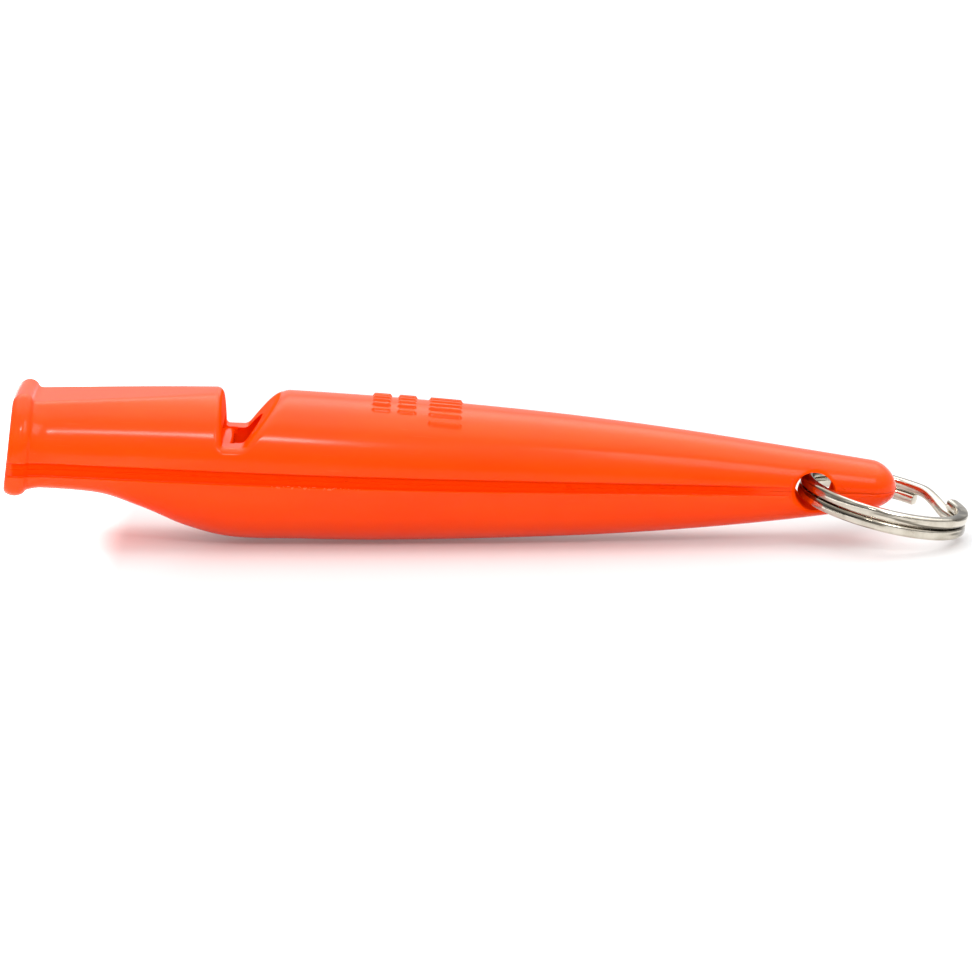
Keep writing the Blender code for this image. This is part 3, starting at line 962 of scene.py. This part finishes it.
def floor_material():
    """Pale glossy card with painted light past the mouth end that washes out the shadow there; it can be
    seen through from below.
    """
    surface, tree, shader = principled("white_card")
    shader.inputs["Base Color"].default_value = (FLOOR_WHITE, FLOOR_WHITE, FLOOR_WHITE, 1)
    shader.inputs["Roughness"].default_value = FLOOR_ROUGHNESS
    shader.inputs["Specular IOR Level"].default_value = FLOOR_SPECULAR
    coords = add_node(tree, "ShaderNodeTexCoord")
    place = add_node(tree, "ShaderNodeSeparateXYZ")
    tree.links.new(coords.outputs["Object"], place.inputs["Vector"])
    shader.inputs["Emission Color"].default_value = (1, 1, 1, 1)
    # Painted light: the floor glows much more past the mouth end, so no shadow shows there.
    floor_glow_with_painted_light = remap(tree, place.outputs["X"], *PAINTED_FLOOR_LIGHT_FADE, PAINTED_FLOOR_LIGHT, FLOOR_GLOW)
    tree.links.new(floor_glow_with_painted_light, shader.inputs["Emission Strength"])
    geometry = add_node(tree, "ShaderNodeNewGeometry")
    clear = add_node(tree, "ShaderNodeBsdfTransparent")
    mix = add_node(tree, "ShaderNodeMixShader")
    tree.links.new(geometry.outputs["Backfacing"], mix.inputs["Fac"])
    tree.links.new(shader.outputs["BSDF"], mix.inputs[1])
    tree.links.new(clear.outputs["BSDF"], mix.inputs[2])
    tree.links.new(mix.outputs["Shader"], tree.nodes["Material Output"].inputs["Surface"])
    return surface


def studio_world():
    """White room: bright ceiling, a dimmer camera side, and pure white wherever the camera sees it."""
    world = bpy.data.worlds.new("studio")
    world.use_nodes = True
    tree = world.node_tree
    coords = add_node(tree, "ShaderNodeTexCoord")
    way = add_node(tree, "ShaderNodeSeparateXYZ")
    tree.links.new(coords.outputs["Generated"], way.inputs["Vector"])
    front = remap(tree, way.outputs["Z"], *DOME_FRONT_RANGE, DOME_FRONT_LOW, DOME_FRONT_HIGH)
    behind = remap(tree, way.outputs["Y"], *DOME_BACK_RANGE, 0.0, 1.0)
    low = add_node(tree, "ShaderNodeMix")
    tree.links.new(behind, low.inputs["Factor"])
    tree.links.new(front, low.inputs["A"])
    low.inputs["B"].default_value = DOME_BACK
    high = add_node(tree, "ShaderNodeMix")
    overhead = combine_values(tree, "ADD", times(tree, way.outputs["Z"], math.cos(DOME_TILT)),
                              times(tree, way.outputs["Y"], math.sin(DOME_TILT)))
    tree.links.new(remap(tree, overhead, *DOME_TOP_RANGE, 0.0, 1.0), high.inputs["Factor"])
    tree.links.new(low.outputs["Result"], high.inputs["A"])
    high.inputs["B"].default_value = DOME_TOP
    path = add_node(tree, "ShaderNodeLightPath")
    seen = add_node(tree, "ShaderNodeMix")
    tree.links.new(path.outputs["Is Camera Ray"], seen.inputs["Factor"])
    tree.links.new(high.outputs["Result"], seen.inputs["A"])
    seen.inputs["B"].default_value = BACKDROP
    tree.links.new(seen.outputs["Result"], tree.nodes["Background"].inputs["Strength"])
    tree.nodes["Background"].inputs["Color"].default_value = (1, 1, 1, 1)
    return world


def lowest_along(direction, objects):
    """Lowest distance along a direction over the objects' points, in metres."""
    lowest = 1e9
    for obj in objects:
        points = np.empty(len(obj.data.vertices) * 3)
        obj.data.vertices.foreach_get("co", points)
        lowest = min(lowest, float((points.reshape(-1, 3) @ np.array(direction)).min()))
    return lowest


def add_area_light(name, location, target, size, power):
    light = bpy.data.lights.new(name, "AREA")
    light.shape = "RECTANGLE"
    light.size, light.size_y = size
    light.energy = power
    obj = bpy.data.objects.new(name, light)
    bpy.context.scene.collection.objects.link(obj)
    obj.location = location
    obj.rotation_euler = (Vector(target) - Vector(location)).to_track_quat("-Z", "Y").to_euler()


def build_stage(objects):
    """Pale floor under the lowest point, tipped with the whistle, in a soft white room."""
    up = (-math.sin(TAIL_DOWN), 0.0, math.cos(TAIL_DOWN))
    height = lowest_along(up, objects) - FLOOR_GAP
    corners = [(FLOOR_HALF * x, FLOOR_HALF * y, 0) for x, y in ((-1, -1), (1, -1), (1, 1), (-1, 1))]
    mesh = bpy.data.meshes.new("floor")
    mesh.from_pydata(corners, [], [(0, 1, 2, 3)])
    floor = bpy.data.objects.new("floor", mesh)
    bpy.context.scene.collection.objects.link(floor)
    floor.rotation_euler = (0, -TAIL_DOWN, 0)
    floor.location = Vector(up) * height
    floor.data.materials.append(floor_material())
    target = Vector(LAMP_TARGET)
    rise = math.radians(LAMP_ELEVATION)
    turn = math.radians(LAMP_AZIMUTH)
    way = Vector((math.sin(turn) * math.cos(rise), -math.cos(turn) * math.cos(rise), math.sin(rise)))
    add_area_light("lamp", target + way * LAMP_DISTANCE, target, LAMP_SIZE, LAMP_POWER)
    add_area_light("tail_lamp", TAIL_LAMP, (HOLE_X * MM, 0, 0), TAIL_LAMP_SIZE, TAIL_LAMP_POWER)
    bpy.context.scene.world = studio_world()
    bpy.context.scene.view_settings.view_transform = "Standard"


def build_camera():
    """Long lens, a little above the whistle, rolled so that the floor it lies on is level."""
    target = Vector(CAMERA_TARGET) * MM
    away = Vector((0, -math.cos(CAMERA_ELEVATION), math.sin(CAMERA_ELEVATION)))
    data = bpy.data.cameras.new("camera")
    data.sensor_width = SENSOR
    data.lens = SENSOR * CAMERA_DISTANCE / FRAME_WIDTH
    data.clip_start, data.clip_end = CLIP_RANGE
    camera = bpy.data.objects.new("camera", data)
    bpy.context.scene.collection.objects.link(camera)
    camera.location = target + away * CAMERA_DISTANCE * MM
    aim = (-away).to_track_quat("-Z", "Y").to_matrix().to_4x4()
    camera.rotation_euler = (aim @ Matrix.Rotation(TAIL_DOWN, 4, "Z")).to_euler()
    bpy.context.scene.camera = camera


def main():
    upper = build_upper()
    lower = build_lower()
    flash = build_weld_flash()
    ring = build_ring()
    upper_orange = orange_plastic("orange_upper", ORANGE, DEEP_ORANGE, 0.0)
    lower_orange = orange_plastic("orange_lower", ORANGE, DEEP_ORANGE, 0.4)
    for piece, surface, body, node, slot in (
        (upper, upper_orange, "whistle", "upper_body", "orange_upper"),
        (lower, lower_orange, "whistle", "lower_body", "orange_lower"),
        (flash, lower_orange, "whistle", None, "orange_lower"),
        (ring, nickel_plate(), "ring", "split_ring", "nickel_wire"),
    ):
        piece.data.materials.clear()
        piece.data.materials.append(surface)
        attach(piece, body)
        if node:
            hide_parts(node)
    build_stage([upper, lower, ring])
    build_camera()


main()
